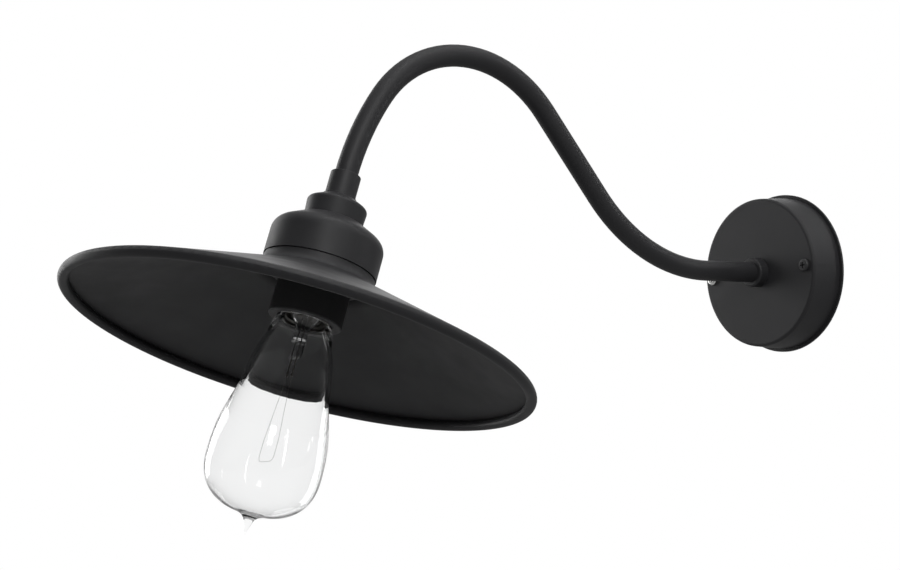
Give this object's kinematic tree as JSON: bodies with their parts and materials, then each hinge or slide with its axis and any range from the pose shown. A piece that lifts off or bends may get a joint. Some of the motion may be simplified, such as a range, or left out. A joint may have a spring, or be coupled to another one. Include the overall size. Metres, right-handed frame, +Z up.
{
  "type": "gooseneck wall sconce",
  "caption": "Wall sconce with a round canopy, a bent gooseneck tube, a screw lampholder under a turned cup, a shallow tilted shade and a clear screw-in bulb.",
  "frame": {"origin": "midway between the wall bracket's two screw slots, in the plane of the wall", "axes": "+Y into the wall, +Z up, arm and lamp stand out along -Y in the plane X = 0"},
  "size_m": [0.257, 0.4909, 0.269],
  "materials": {
    "powder_black": "satin black powder coat",
    "plated_steel": "zinc plated",
    "screw_steel": "bright plated",
    "block_white": "satin",
    "wire_brown": "satin",
    "wire_blue": "satin",
    "wire_green": "satin",
    "holder_black": "moulded",
    "core_white": "glazed ceramic",
    "brass": "plain",
    "clear_glass": "clear",
    "base_nickel": "nickel plated",
    "insulator_black": "glass-filled",
    "filament_dark": "drawn wire"
  },
  "bodies": {
    "root": {"canopy": "powder_black", "gooseneck_arm": "powder_black", "arm_hub": "powder_black", "arm_sleeve": "powder_black", "neck_cap": "powder_black", "holder_cup": "powder_black", "shade": "powder_black", "mounting_bracket": "plated_steel", "arm_lock_washer": "plated_steel", "arm_lock_nut": "plated_steel", "threaded_nipple": "plated_steel", "nipple_lock_nut": "plated_steel", "canopy_screws": "screw_steel", "terminal_block_screws": "screw_steel", "earth_screw": "screw_steel", "terminal_block": "block_white", "live_wire": "wire_brown", "neutral_wire": "wire_blue", "earth_wire": "wire_green", "lampholder_shell": "holder_black", "lampholder_cap": "holder_black", "shade_ring": "holder_black", "lampholder_core": "core_white", "lampholder_terminals": "brass", "lampholder_screws": "brass", "lamp_shell": "brass"},
    "contact_tongue": {"contact_tongue": "brass"},
    "bulb_carrier": {"bulb_tip_contact": "base_nickel"},
    "bulb": {"bulb_glass": "clear_glass", "bulb_screw_base": "base_nickel", "bulb_insulator": "insulator_black", "bulb_stem": "clear_glass", "bulb_leads": "base_nickel", "filament_clamps": "base_nickel", "bulb_filament": "filament_dark"}
  },
  "joints": [
    {"name": "bulb_travel", "type": "slide", "parent": "root", "child": "bulb_carrier", "axis": [0, -0.3502, -0.9367], "range_m": [0, 0.01633]},
    {"name": "bulb_turn", "type": "hinge", "parent": "bulb_carrier", "child": "bulb", "pos_m": [0, -0.3609, -0.02274], "axis": [0, -0.3502, -0.9367], "range_deg": [0, 1620]},
    {"name": "tongue_flex", "type": "hinge", "parent": "root", "child": "contact_tongue", "pos_m": [0, -0.34482, -0.00532], "axis": [-1, 0, 0], "range_deg": [0, 6], "stiffness_Nm_per_rad": 0.01}
  ],
  "couplings": [
    {"joint": "bulb_turn", "follows": "bulb_travel", "rad_per_m": 1730.9}
  ]
}
